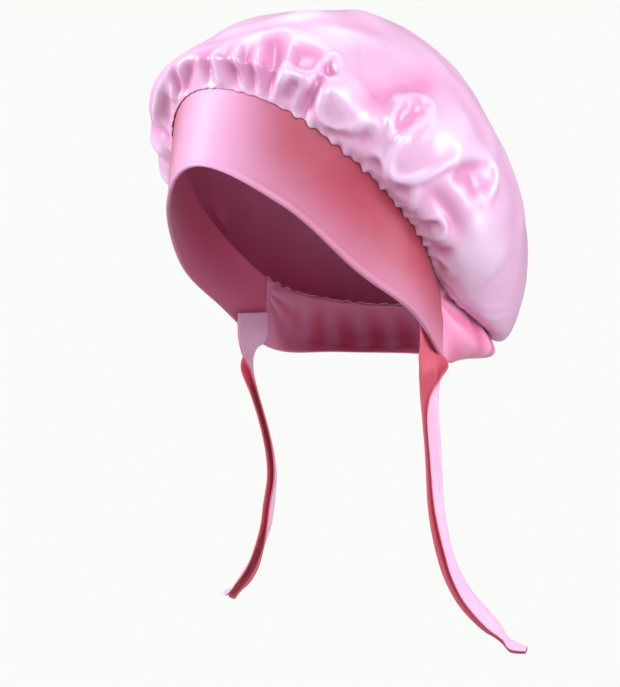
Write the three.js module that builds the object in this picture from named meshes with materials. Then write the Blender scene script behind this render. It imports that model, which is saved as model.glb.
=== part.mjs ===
// A sleep bonnet: a flat band across the forehead and over the ears, a puffed crown gathered on to
// the band's upper edge, a loose pleated nape piece that closes the ring behind, and two ties.
//
// Millimetres, +Z up. -Y is the front and +X the wearer's left. The origin is on the centre line of
// the head, in the head opening, about level with the lower edge of the band over the ears.
// Angles are in degrees from the front, positive towards the wearer's left.
import * as THREE from "three";

const CROWN_WALL = 1.2;
const BAND_WALL = 2;
const NAPE_WALL = 1.6;
const TIE_WALL = 1.4;
const GAP = 0.4;

const SATIN = { color: 0xf0c2e2, roughness: 0.25, metalness: 0 };
const MATTE = { color: 0xe88cb8, roughness: 0.6, metalness: 0 };
const TIE_CLOTH = { color: 0xeeb0d8, roughness: 0.5, metalness: 0 };

// The rings that the cloth runs through. Each has its distance from the centre line and its height
// at every 30 degrees, from the front, 0, past the ear, 90, to the nape, 180. Both sides are alike.
const RING_STEP = 30;
const RINGS = {
  rim: {
    reach: [97, 88.7, 80.2, 78.2, 80.5, 92, 100],
    height: [90, 68.6, 31, 6.2, -23.5, -27, -27],
  },
  belly: {
    reach: [92, 86, 81.5, 80, 84, 114, 125],
    height: [112, 96, 62, 30, -7, -23, -22],
  },
  seam: {
    reach: [85.4, 82.4, 80.7, 80.3, 79, 103, 112],
    height: [135.4, 123.8, 93.5, 55, 20, 5, 3],
  },
  roll: {
    reach: [90, 88.5, 91, 97, 96, 126, 138],
    height: [143, 131, 97, 52, 12, -16, -15],
  },
  bulge: {
    reach: [93, 93.5, 99, 110, 123, 138.5, 147],
    height: [152, 143, 121, 91, 57, 31, 23],
  },
  shoulder: {
    reach: [62, 65, 74, 85, 93, 101, 107],
    height: [166, 164, 158, 149, 139, 129, 126],
  },
  crest: {
    reach: [24, 26, 32, 41, 50, 56, 60],
    height: [180.5, 180.5, 180.5, 179, 176, 172, 170],
  },
};
const CROWN_RINGS = ["seam", "roll", "bulge", "shoulder", "crest"];
const POLE = new THREE.Vector3(0, 15, 183.5);

const CROWN_COLUMNS = 104;
const CROWN_ROWS = 18;
const ROW_CROWDING = 1.25;
const HEM_OUTSET = 0.5;
const HEM_CALM = 0.035;

// Where the flat band ends and the nape piece begins.
const BAND_END = 117;
const BAND_COLUMNS = 60;
const BAND_BOW = 0.8;
// The band's rows from its lower edge up, as shares of its width, and how much each is swollen.
const BAND_ROWS = [
  { share: 0, swell: 0.2 },
  { share: 0.035, swell: 0.6 },
  { share: 0.07, swell: 0 },
  { share: 0.5, swell: 0 },
  { share: 1, swell: 0 },
];
const NAPE_COLUMNS = 48;
const NAPE_ROWS = 5;
const NAPE_PLEATS = 13;
const NAPE_PLEAT_DEPTH = 1.6;
const NAPE_CALM_POWER = 8;

// The gathers along the crown's hem: how many waves go round, how deep they are, how far they drift
// from even spacing, and the share of the way to the top over which they fade.
const GATHERS = [
  { waves: 29, depth: 2.2, drift: 2.1, drifts: 4, fade: 0.13 },
  { waves: 17, depth: 1.8, drift: 1.7, drifts: 3, fade: 0.28 },
];

// The crown's main folds. Each runs from one place through a second to a third, as an angle and a
// share of the way from hem to top, and stands up, or where negative sinks in, by its height.
const FOLDS = [
  { from: [-16, 0.03], via: [-13, 0.12], to: [-15, 0.22], height: -4, width: 8 },
  { from: [-3, 0.03], via: [1, 0.14], to: [-3, 0.26], height: -4, width: 8 },
  { from: [8, 0.03], via: [10, 0.17], to: [6, 0.28], height: -4.5, width: 8 },
  { from: [16, 0.03], via: [18, 0.2], to: [14, 0.32], height: -4.5, width: 8 },
  { from: [26, 0.03], via: [25, 0.19], to: [18, 0.36], height: -5.5, width: 9 },
  { from: [32, 0.04], via: [33, 0.22], to: [27, 0.42], height: 4, width: 9 },
  { from: [43, 0.05], via: [43, 0.19], to: [50, 0.36], height: -5.5, width: 9 },
  { from: [44, 0.2], via: [45, 0.03], to: [64, 0.2], height: 3.5, width: 8 },
  { from: [68, 0.1], via: [67, 0.26], to: [79, 0.42], height: 4, width: 8 },
  { from: [84, 0.42], via: [79, 0.31], to: [69, 0.15], height: 4, width: 8 },
  { from: [78, 0.35], via: [75, 0.28], to: [71, 0.2], height: -6, width: 9 },
  { from: [70, 0.08], via: [82, 0.14], to: [105, 0.36], height: 5, width: 9 },
  { from: [84, 0.14], via: [91, 0.2], to: [101, 0.28], height: -6, width: 11 },
  { from: [62, 0.5], via: [58, 0.42], to: [60, 0.28], height: -2.5, width: 10 },
  { from: [78, 0.6], via: [75, 0.5], to: [82, 0.46], height: -2, width: 10 },
  { from: [-40, 0.3], via: [-2, 0.5], to: [61, 0.62], height: 2.5, width: 15 },
  { from: [88, 0.03], via: [84, 0.1], to: [94, 0.1], height: 3, width: 8 },
  { from: [101, 0.03], via: [103, 0.04], to: [107, 0.06], height: -4, width: 9 },
  { from: [112, 0.08], via: [116, 0.24], to: [108, 0.44], height: 3.5, width: 13 },
  { from: [128, 0.05], via: [132, 0.2], to: [128, 0.36], height: -4, width: 13 },
  { from: [146, 0.06], via: [143, 0.24], to: [150, 0.44], height: 4, width: 13 },
  { from: [164, 0.05], via: [167, 0.2], to: [161, 0.34], height: -5, width: 13 },
  { from: [-176, 0.06], via: [179, 0.26], to: [-174, 0.46], height: 4.5, width: 13 },
  { from: [-158, 0.05], via: [-161, 0.2], to: [-155, 0.36], height: -5, width: 13 },
  { from: [-140, 0.06], via: [-136, 0.24], to: [-142, 0.44], height: 4.5, width: 12 },
  { from: [-122, 0.05], via: [-126, 0.18], to: [-120, 0.34], height: -5, width: 12 },
  { from: [-106, 0.05], via: [-102, 0.22], to: [-108, 0.42], height: 4.5, width: 11 },
  { from: [-90, 0.04], via: [-94, 0.18], to: [-87, 0.34], height: -5.5, width: 11 },
  { from: [-75, 0.04], via: [-72, 0.2], to: [-78, 0.4], height: 4.5, width: 10 },
  { from: [-57, 0.03], via: [-58, 0.13], to: [-54, 0.28], height: -5, width: 9 },
  { from: [-46, 0.03], via: [-47, 0.14], to: [-44, 0.3], height: 3.5, width: 9 },
  { from: [-33, 0.03], via: [-35, 0.13], to: [-31, 0.24], height: -4.5, width: 8 },
];
const FOLD_STEPS = 20;
// A fold rises and falls along its length as a sine does between these shares of a half turn.
const FOLD_SWELL = { start: 0.15, end: 0.9 };

// The left tie from its sewn end down, along the line of its lengthwise fold: where the line runs,
// the way that the leaf behind the fold points, seen from above, and how far that leaf drops away
// across the run, then the widths of the leaf behind and the leaf in front, and how far the front
// leaf is folded over, in degrees.
const TIE = [
  { x: 69.8, y: 23.6, z: 0, leafTo: -71, dip: 0, behind: 11, front: 6.6, folded: 0 },
  { x: 69.8, y: 23.6, z: -14, leafTo: -72, dip: 0, behind: 11, front: 6.6, folded: 0 },
  { x: 70.9, y: 24, z: -25, leafTo: -82, dip: 0, behind: 11, front: 7, folded: 8 },
  { x: 73.6, y: 24.8, z: -35, leafTo: -100, dip: 0, behind: 10.6, front: 8, folded: 45 },
  { x: 76.4, y: 25, z: -45, leafTo: -120, dip: 0, behind: 10.3, front: 8.8, folded: 105 },
  { x: 77.8, y: 24.4, z: -55, leafTo: -133, dip: 0, behind: 10, front: 8.8, folded: 150 },
  { x: 78.6, y: 23.4, z: -66, leafTo: -138, dip: 0, behind: 9.8, front: 8.5, folded: 168 },
  { x: 79.8, y: 22.4, z: -84, leafTo: -134, dip: 0, behind: 9, front: 8, folded: 168 },
  { x: 81.2, y: 21.7, z: -105, leafTo: -122, dip: 0, behind: 8.5, front: 7.5, folded: 166 },
  { x: 82.6, y: 21.3, z: -122, leafTo: -112, dip: 2, behind: 8, front: 7, folded: 164 },
  { x: 85.6, y: 21.9, z: -136, leafTo: -112, dip: 12, behind: 8, front: 6.5, folded: 162 },
  { x: 91.8, y: 22.9, z: -148, leafTo: -122, dip: 26, behind: 8.5, front: 6.5, folded: 160 },
  { x: 100.5, y: 25.3, z: -159, leafTo: -132, dip: 38, behind: 9.5, front: 7, folded: 160 },
  { x: 110, y: 28, z: -168, leafTo: -138, dip: 42, behind: 9.5, front: 7, folded: 160 },
  { x: 118, y: 30, z: -176, leafTo: -140, dip: 38, behind: 7.5, front: 6, folded: 158 },
  { x: 122.8, y: 31, z: -183, leafTo: -140, dip: 30, behind: 3.4, front: 3, folded: 150 },
  { x: 128, y: 32.2, z: -185.5, leafTo: -140, dip: 60, behind: 5.2, front: 4.6, folded: 150 },
  { x: 135.3, y: 34.8, z: -188.2, leafTo: -140, dip: 60, behind: 4.2, front: 3.6, folded: 150 },
];
const TIE_STEPS = 34;
const TIE_FOLD_WIDTH = 4.4;
const TIE_LEAST_FOLD = 0.02;
const TIE_FOLD_STEPS = 3;
const TIE_LOOK = 0.01;
// The right tie hangs like the left one, but leans in towards the neck between these two drops.
const RIGHT_LEAN = { inward: 22, back: 12, from: 14, to: 110 };

// Reads a table of values at even steps from 0 to 180 degrees, smoothly, and mirrored at both ends.
function around(values, degrees) {
  const last = values.length - 1;
  const turned = THREE.MathUtils.euclideanModulo(degrees + 180, 360) - 180;
  const place = Math.abs(turned) / RING_STEP;
  const i = Math.min(Math.floor(place), last - 1);
  const f = place - i;
  const at = (k) => values[k < 0 ? -k : k > last ? 2 * last - k : k];
  const [a, b, c, d] = [at(i - 1), at(i), at(i + 1), at(i + 2)];
  return b + 0.5 * f * (c - a + f * (2 * a - 5 * b + 4 * c - d + f * (3 * (b - c) + d - a)));
}

function onRing(name, degrees) {
  const reach = around(RINGS[name].reach, degrees);
  const turn = THREE.MathUtils.degToRad(degrees);
  return new THREE.Vector3(
    reach * Math.sin(turn),
    -reach * Math.cos(turn),
    around(RINGS[name].height, degrees),
  );
}

function outwardAt(degrees) {
  const turn = THREE.MathUtils.degToRad(degrees);
  return new THREE.Vector3(Math.sin(turn), -Math.cos(turn), 0);
}

// The crown before it is folded: one profile from the hem to the top at each angle.
function crownProfile(degrees) {
  const points = CROWN_RINGS.map((name) => onRing(name, degrees));
  points[0].addScaledVector(outwardAt(degrees), HEM_OUTSET);
  points[0].z += GAP;
  return new THREE.CatmullRomCurve3([...points, POLE.clone()], false, "centripetal");
}

// Outward normals of a grid of points, grid[column][row], from its neighbours.
function gridNormals(grid, closed) {
  const columns = grid.length;
  return grid.map((column, i) => {
    const before = grid[closed ? (i + columns - 1) % columns : Math.max(i - 1, 0)];
    const after = grid[closed ? (i + 1) % columns : Math.min(i + 1, columns - 1)];
    return column.map((_, j) => {
      const along = after[j].clone().sub(before[j]);
      const up = column[Math.min(j + 1, column.length - 1)].clone();
      up.sub(column[Math.max(j - 1, 0)]);
      return along.cross(up).normalize();
    });
  });
}

// A closed solid from two facing grids of points. Columns go round, rows go up. A closed grid joins
// its last column to its first, and a topped one narrows to a single point above its last row.
function clothSolid(outer, inner, { closed, top }) {
  const positions = [];
  const triangles = [];
  const columns = outer.length;
  const rows = outer[0].length;
  const index = (side, i, j) => ((side * columns + (i % columns)) * rows + j);
  for (const grid of [outer, inner]) {
    for (const column of grid) {
      for (const point of column) {
        positions.push(point.x, point.y, point.z);
      }
    }
  }
  const quad = (a, b, c, d) => triangles.push(a, b, c, a, c, d);
  const spans = closed ? columns : columns - 1;
  for (let i = 0; i < spans; i += 1) {
    for (let j = 0; j < rows - 1; j += 1) {
      quad(index(0, i, j), index(0, i + 1, j), index(0, i + 1, j + 1), index(0, i, j + 1));
      quad(index(1, i, j), index(1, i, j + 1), index(1, i + 1, j + 1), index(1, i + 1, j));
    }
    quad(index(1, i, 0), index(1, i + 1, 0), index(0, i + 1, 0), index(0, i, 0));
    if (!top) {
      const j = rows - 1;
      quad(index(0, i, j), index(0, i + 1, j), index(1, i + 1, j), index(1, i, j));
    }
  }
  if (top) {
    const tips = top.map((point) => positions.push(point.x, point.y, point.z) / 3 - 1);
    for (let i = 0; i < spans; i += 1) {
      triangles.push(index(0, i, rows - 1), index(0, i + 1, rows - 1), tips[0]);
      triangles.push(index(1, i + 1, rows - 1), index(1, i, rows - 1), tips[1]);
    }
  }
  if (!closed) {
    for (let j = 0; j < rows - 1; j += 1) {
      const i = columns - 1;
      quad(index(1, 0, j), index(0, 0, j), index(0, 0, j + 1), index(1, 0, j + 1));
      quad(index(0, i, j), index(1, i, j), index(1, i, j + 1), index(0, i, j + 1));
    }
  }
  const geometry = new THREE.BufferGeometry();
  geometry.setAttribute("position", new THREE.Float32BufferAttribute(positions, 3));
  geometry.setIndex(triangles);
  geometry.computeVertexNormals();
  return geometry;
}

function thicken(outer, wall, closed) {
  const normals = gridNormals(outer, closed);
  return outer.map((column, i) =>
    column.map((point, j) => point.clone().addScaledVector(normals[i][j], -wall)),
  );
}

// The places that one fold runs through on the unfolded crown.
function foldLine({ from, via, to }) {
  const line = [];
  for (let k = 0; k <= FOLD_STEPS; k += 1) {
    const f = k / FOLD_STEPS;
    const mix = (n) => (1 - f) ** 2 * from[n] + 2 * f * (1 - f) * via[n] + f ** 2 * to[n];
    line.push(crownProfile(mix(0)).getPointAt(mix(1)));
  }
  return line;
}

// How far a place on the crown is pushed out by the folds.
function foldHeight(point, folds) {
  let height = 0;
  for (const fold of folds) {
    let nearest = Infinity;
    let where = 0;
    fold.line.forEach((place, k) => {
      const distance = place.distanceTo(point);
      if (distance < nearest) {
        nearest = distance;
        where = k / FOLD_STEPS;
      }
    });
    const taper = Math.sin(Math.PI * THREE.MathUtils.lerp(FOLD_SWELL.start, FOLD_SWELL.end, where));
    height += fold.height * taper * Math.exp(-((nearest / fold.width) ** 2));
  }
  return height;
}

function gatherHeight(degrees, share) {
  const turn = THREE.MathUtils.degToRad(degrees);
  let height = 0;
  for (const { waves, depth, drift, drifts, fade } of GATHERS) {
    const phase = waves * turn + drift * Math.sin(drifts * turn);
    height += depth * Math.sin(phase) * Math.exp(-((share / fade) ** 2));
  }
  return height * THREE.MathUtils.smoothstep(share, 0, HEM_CALM);
}

function crownGeometry() {
  const folds = FOLDS.map((fold) => ({ ...fold, line: foldLine(fold) }));
  const angles = Array.from({ length: CROWN_COLUMNS }, (_, i) => (360 * i) / CROWN_COLUMNS);
  const shares = Array.from({ length: CROWN_ROWS }, (_, j) => (j / CROWN_ROWS) ** ROW_CROWDING);
  const smooth = angles.map((degrees) => {
    const profile = crownProfile(degrees);
    return shares.map((share) => profile.getPointAt(share));
  });
  const normals = gridNormals(smooth, true);
  const outer = smooth.map((column, i) =>
    column.map((point, j) => {
      const calm = THREE.MathUtils.smoothstep(shares[j], 0, HEM_CALM);
      const height = gatherHeight(angles[i], shares[j]) + calm * foldHeight(point, folds);
      return point.clone().addScaledVector(normals[i][j], height);
    }),
  );
  const inner = thicken(outer, CROWN_WALL, true);
  const innerTop = POLE.clone().setZ(POLE.z - CROWN_WALL);
  return clothSolid(outer, inner, { closed: true, top: [POLE, innerTop] });
}

// The flat band: its outer face runs from the rim to the seam, with a rolled lower edge.
function bandGeometry() {
  const outer = [];
  for (let i = 0; i <= BAND_COLUMNS; i += 1) {
    const degrees = BAND_END * ((2 * i) / BAND_COLUMNS - 1);
    const low = onRing("rim", degrees);
    const high = onRing("seam", degrees);
    outer.push(
      BAND_ROWS.map(({ share, swell }) => {
        const bow = BAND_BOW * 4 * share * (1 - share) + swell;
        return low.clone().lerp(high, share).addScaledVector(outwardAt(degrees), bow);
      }),
    );
  }
  return clothSolid(outer, thicken(outer, BAND_WALL, false), { closed: false });
}

// The nape piece, from one end of the band round behind to the other: pleats fan out from its ends.
function napeGeometry() {
  const outer = [];
  const gap = THREE.MathUtils.radToDeg(GAP / around(RINGS.seam.reach, BAND_END));
  const span = 180 - BAND_END - gap;
  for (let i = 0; i <= NAPE_COLUMNS; i += 1) {
    const across = (2 * i) / NAPE_COLUMNS - 1;
    const degrees = 180 + span * across;
    const curve = new THREE.CatmullRomCurve3(
      ["rim", "belly", "seam"].map((name) => onRing(name, degrees)),
      false,
      "centripetal",
    );
    const column = [];
    for (let j = 0; j <= NAPE_ROWS; j += 1) {
      const share = j / NAPE_ROWS;
      const pleat = Math.sin(NAPE_PLEATS * Math.PI * (across + 1) + Math.sin(3 * across));
      const calm = 1 - across ** NAPE_CALM_POWER;
      const depth = NAPE_PLEAT_DEPTH * Math.sin(Math.PI * share) * calm;
      const point = curve.getPointAt(share);
      column.push(point.addScaledVector(outwardAt(degrees), depth * pleat));
    }
    outer.push(column);
  }
  return clothSolid(outer, thicken(outer, NAPE_WALL, false), { closed: false });
}

// Reads one column of the tie's table at a share of the way down, smoothly.
function tieValue(name, share) {
  const values = TIE.map((row) => row[name]);
  const last = values.length - 1;
  const place = share * last;
  const i = Math.min(Math.floor(place), last - 1);
  const f = place - i;
  const at = (k) => values[THREE.MathUtils.clamp(k, 0, last)];
  const [a, b, c, d] = [at(i - 1), at(i), at(i + 1), at(i + 2)];
  return b + 0.5 * f * (c - a + f * (2 * a - 5 * b + 4 * c - d + f * (3 * (b - c) + d - a)));
}

// The middle line of the tie's section at one station, as points from the free edge of the leaf
// behind, round the fold, to the free edge of the leaf in front.
function tieSection(share) {
  const fold = new THREE.Vector3(...["x", "y", "z"].map((name) => tieValue(name, share)));
  const ahead = Math.min(share + TIE_LOOK, 1);
  const run = new THREE.Vector3(...["x", "y", "z"].map((name) => tieValue(name, ahead)));
  const back = Math.max(share - TIE_LOOK, 0);
  run.sub(new THREE.Vector3(...["x", "y", "z"].map((name) => tieValue(name, back)))).normalize();
  const turn = THREE.MathUtils.degToRad(tieValue("leafTo", share));
  const dip = THREE.MathUtils.degToRad(tieValue("dip", share));
  const leaf = new THREE.Vector3(
    Math.cos(turn) * Math.cos(dip),
    Math.sin(turn) * Math.cos(dip),
    -Math.sin(dip),
  );
  leaf.addScaledVector(run, -leaf.dot(run)).normalize();
  const face = new THREE.Vector3().crossVectors(leaf, run).normalize();
  const folded = Math.max(THREE.MathUtils.degToRad(tieValue("folded", share)), TIE_LEAST_FOLD);
  const radius = TIE_FOLD_WIDTH / folded;
  const points = [];
  const put = (along, out) =>
    points.push(fold.clone().addScaledVector(leaf, along).addScaledVector(face, out));
  const middle = tieValue("behind", share) / 2;
  put(2 * middle, 0);
  put(middle, 0);
  for (let k = 0; k <= TIE_FOLD_STEPS; k += 1) {
    const angle = (folded * k) / TIE_FOLD_STEPS;
    put(-radius * Math.sin(angle), radius * (1 - Math.cos(angle)));
  }
  const end = points[points.length - 1];
  const over = leaf.clone().multiplyScalar(-Math.cos(folded));
  over.addScaledVector(face, Math.sin(folded));
  points.push(end.clone().addScaledVector(over, tieValue("front", share)));
  return points;
}

// A tie is a grid of sections, as thick as the wall, with both free edges and both ends closed.
function tieGeometry(side) {
  const middle = [];
  for (let k = 0; k <= TIE_STEPS; k += 1) {
    middle.push(tieSection(k / TIE_STEPS));
  }
  if (side < 0) {
    for (const section of middle) {
      const drop = TIE[0].z - section[0].z;
      const lean = THREE.MathUtils.smoothstep(drop, RIGHT_LEAN.from, RIGHT_LEAN.to);
      for (const point of section) {
        point.x = -point.x + RIGHT_LEAN.inward * lean;
        point.y += RIGHT_LEAN.back * lean;
      }
      section.reverse();
    }
  }
  const normals = gridNormals(middle, false);
  const shift = (sign) =>
    middle.map((section, i) =>
      section.map((p, j) => p.clone().addScaledVector(normals[i][j], (sign * TIE_WALL) / 2)),
    );
  return clothSolid(shift(1), shift(-1), { closed: false });
}

function named(name, geometry, look) {
  const mesh = new THREE.Mesh(geometry, new THREE.MeshStandardMaterial(look));
  mesh.name = name;
  return mesh;
}

const bonnet = new THREE.Group();
bonnet.add(named("crown", crownGeometry(), SATIN));
bonnet.add(named("band", bandGeometry(), MATTE));
bonnet.add(named("nape_piece", napeGeometry(), MATTE));
bonnet.add(named("tie_left", tieGeometry(1), TIE_CLOTH));
bonnet.add(named("tie_right", tieGeometry(-1), TIE_CLOTH));

export default bonnet;
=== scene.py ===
# A sleep bonnet in pink satin: the cloth of its crown, band, nape piece and ties around the packed
# model, with a pale floor, soft light and a camera.
#
# Lengths are in millimetres and become metres where a mesh is made. +Z is up, -Y the front, +X the
# wearer's left. Angles are in degrees from the front, positive towards the wearer's left.
import math

import bpy
import numpy as np
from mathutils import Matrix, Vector


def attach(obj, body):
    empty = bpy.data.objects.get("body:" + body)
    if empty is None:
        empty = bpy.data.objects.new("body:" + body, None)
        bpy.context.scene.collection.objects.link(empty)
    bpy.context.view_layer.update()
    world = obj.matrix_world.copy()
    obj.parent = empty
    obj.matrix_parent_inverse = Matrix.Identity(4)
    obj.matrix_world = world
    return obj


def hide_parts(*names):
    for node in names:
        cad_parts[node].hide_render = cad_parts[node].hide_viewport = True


MM = 0.001

# The rings that the cloth runs through: the distance from the centre line and the height at every
# 30 degrees, from the front, 0, past the side, 90, to the nape, 180. Both sides are alike.
RING_STEP = 30
RINGS = {
    "rim": ([97, 88.7, 80.2, 78.2, 80.5, 92, 100], [90, 68.6, 31, 6.2, -23.5, -27, -27]),
    "belly": ([92, 86, 81.5, 80, 86, 119, 127], [112, 96, 62, 30, -7, -24, -22]),
    "seam": ([85.4, 82.4, 80.7, 80.3, 79, 103, 112], [135.4, 123.8, 93.5, 55, 20, 5, 3]),
    "roll": ([90, 88.5, 91, 97, 96, 126, 138], [143, 131, 97, 52, 12, -16, -15]),
    "bulge": ([93, 93.5, 99, 110, 123, 138.5, 147], [152, 143, 121, 91, 57, 31, 23]),
    "shoulder": ([62, 65, 74, 85, 93, 101, 107], [166, 164, 158, 149, 139, 129, 126]),
    "crest": ([24, 26, 32, 41, 50, 56, 60], [180.5, 180.5, 180.5, 179, 176, 172, 170]),
}
CROWN_RINGS = ["seam", "roll", "bulge", "shoulder", "crest"]
POLE = np.array([0, 15, 183.5])
# The steps from one ring to the next, and from one place of a fold to the next.
CURVE_STEPS = 40
FOLD_STEPS = 9

CROWN_COLUMNS = 500
CROWN_ROWS = 96
# Above 1, the rows crowd together towards the hem.
ROW_CROWDING = 1.25
# The radius of the round blank that the crown is cut from.
CROWN_CUT = 220
CROWN_WALL = 0.5
# The hem stands off the band and laps over it, but stops short of the nape piece. It passes from
# one to the other between these two angles before the band's end.
HEM_OUTSET = 0.95
HEM_DROP = 1.0
HEM_LIFT = 1.3
HEM_PASSES = (6, 1)
# Up to a share of the way to the top, the crown hangs close over the nape piece: its hollows are no
# deeper than this there, and may be far deeper where it is free.
NAPE_CLEARANCE = {"depth": 0.1, "free": 30, "from": 0.17, "to": 0.36}
# The folds fade out at the hem over this share of the way to the top.
HEM_CALM = 0.022
# The depth of a hollow with the deepest painted shade, and the height of a fold with the palest
# painted light. The pole is painted half way between them.
CROWN_RELIEF = 3.5
POLE_PAINTED_SHADE = 0.5
# How often the directions in which the folds stand out, and then the folded cloth, are evened out.
NORMAL_BLUR = 30
CLOTH_BLUR = 1

BAND_END = 117
BAND_COLUMNS = 260
# The length of cut cloth for each degree of the band.
BAND_CUT = 1.5
BAND_WALL = 1.6
# How far the band bows out half way up it, and how far its outer face stands out all over.
BAND_BOW = 0.8
BAND_SWELL = 0.3
# Painted shade: the band is painted darker and redder where the crown hangs over it and shades it.
# The painted shade deepens between these angles from the front and these shares of its width.
BAND_PAINTED_SHADE = {"around": (4, 38), "up": (-0.6, 0.75)}
# The band's rows from its lower edge up, as shares of its width, and how far each stands out.
BAND_ROWS = [
    (0, 0.1),
    (0.012, 0.75),
    (0.03, 1.0),
    (0.05, 0.8),
    (0.066, 0.2),
    (0.078, 0.0),
    (0.1, 0.25),
    *((0.14 + 0.86 * k / 20, BAND_SWELL) for k in range(21)),
]

NAPE_COLUMNS = 300
NAPE_ROWS = 28
NAPE_WALL = 0.9
# The same as the crown's relief, for the painted shade and light of the pleats, and the gap left
# between the piece and the band.
NAPE_RELIEF = 1.6
NAPE_GAP = 0.1
# The way from the middle of the nape piece to either end, and up it.
NAPE_HALF = 115
NAPE_WIDTH = 50
# On the way from the middle to either end, the nape piece comes flush with the band between these.
NAPE_FLUSH = (0.8, 0.985)
# How many pleats there are, how quickly their spacing drifts and how deep they are.
NAPE_PLEATS = {"number": 13, "drift": 3, "depth": 1.3}
# The creases that spread from a pinch just beyond each end: the shares between which they take the
# place of the pleats, how high the pinch is and how far beyond the end, how many creases would go
# all the way round it and how deep they are, and the distances over which they rise and fade.
NAPE_FAN = {
    "from": (0.6, 0.85),
    "pinch": 0.8,
    "beyond": 2,
    "creases": 9,
    "depth": 0.9,
    "rise": (2, 14),
    "fade": 42,
}

# The gathers along the crown's hem: how many waves go round, how deep they are, how far and how
# often they drift from even spacing, and the share of the way to the top over which they fade.
GATHERS = [
    {"waves": 29, "depth": 1.0, "drift": 2.1, "drifts": 4, "fade": 0.13},
    {"waves": 17, "depth": 1.2, "drift": 1.7, "drifts": 3, "fade": 0.28},
]
# They are on the far side, between these angles, and fade out over this many degrees.
GATHERED = {"from": 146, "to": 288, "fade": 12}
# The small puckers where the hem is sewn down, calm across the front and uneven along the sides.
PUCKERS = {"waves": 83, "drift": 2.3, "drifts": 5}
CROSS_PUCKERS = {"waves": 59, "drift": 3.1, "drifts": 3}
CROSS_SHARE = 0.8
# How far the puckers stand out, how much of that swings with their waves, how far the cloth lifts
# with them, and the share of the way to the top over which they fade. Then how strong they stay
# across the front, and the angles between which they gain their full strength.
PUCKER_SIZE = {
    "depth": 0.8,
    "swing": 0.7,
    "lift": 0.3,
    "fade": 0.03,
    "calm": 0.25,
    "from": 22,
    "to": 45,
}
# The puckers also scallop the edge of the hem: how deep, how far it may rise between two of them,
# and how much flatter it is over the nape piece.
SCALLOPS = {"depth": 0.8, "rise": -0.2, "flatter": 0.8}

# The crown's folds, each through places given as an angle and a share of the way from hem to top.
# A fold stands up, or where negative sinks in, by its height, and fades over the given share of its
# length at both ends, or else over the usual one. It starts to fade a little beyond its ends, and
# nothing is felt of it beyond so many times its width.
FOLD_ENDS = 0.3
FOLD_BEYOND = -0.1
FOLD_REACH = 3
FRONT_GATHERS = [
    {
        "through": [(0.5, 0), (0.5, 0.075), (0.5, 0.16), (0, 0.24)],
        "height": -5,
        "width": 5,
        "ends": 0.5,
    },
    {"through": [(5, 0), (5.5, 0.098), (3.5, 0.22)], "height": 2.4, "width": 3},
    {
        "through": [(14, 0), (12.5, 0.06), (10.5, 0.12), (7, 0.25)],
        "height": -5,
        "width": 4.8,
        "ends": 0.5,
    },
    {"through": [(16.2, 0), (15, 0.125), (11, 0.28)], "height": 2.4, "width": 2.9},
    {
        "through": [(18.8, 0), (18.5, 0.077), (17, 0.18), (14, 0.29)],
        "height": -5.8,
        "width": 4.8,
        "ends": 0.5,
    },
    {"through": [(22, 0), (22.6, 0.15), (20, 0.32)], "height": 2.4, "width": 2.8},
    {
        "through": [(24.5, 0), (26, 0.107), (27, 0.215), (25, 0.34), (22, 0.42)],
        "height": -8,
        "width": 6,
        "ends": 0.4,
    },
    {
        "through": [(26.5, 0), (29.8, 0.105), (32.5, 0.217), (31.5, 0.372)],
        "height": 3.4,
        "width": 3.4,
    },
    {
        "through": [(-4.5, 0.295), (8, 0.305), (16, 0.38), (24.5, 0.448), (30, 0.415)],
        "height": 2,
        "width": 6,
    },
    {"through": [(27.5, 0.033), (31, 0.125), (34, 0.168), (38, 0.18)], "height": 1.8, "width": 2.8},
    {"through": [(31, 0.03), (34, 0.11), (37, 0.13)], "height": -3.5, "width": 4},
    {"through": [(32, 0.045), (33.5, 0.1), (36, 0.122)], "height": 1.2, "width": 2},
]
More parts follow.
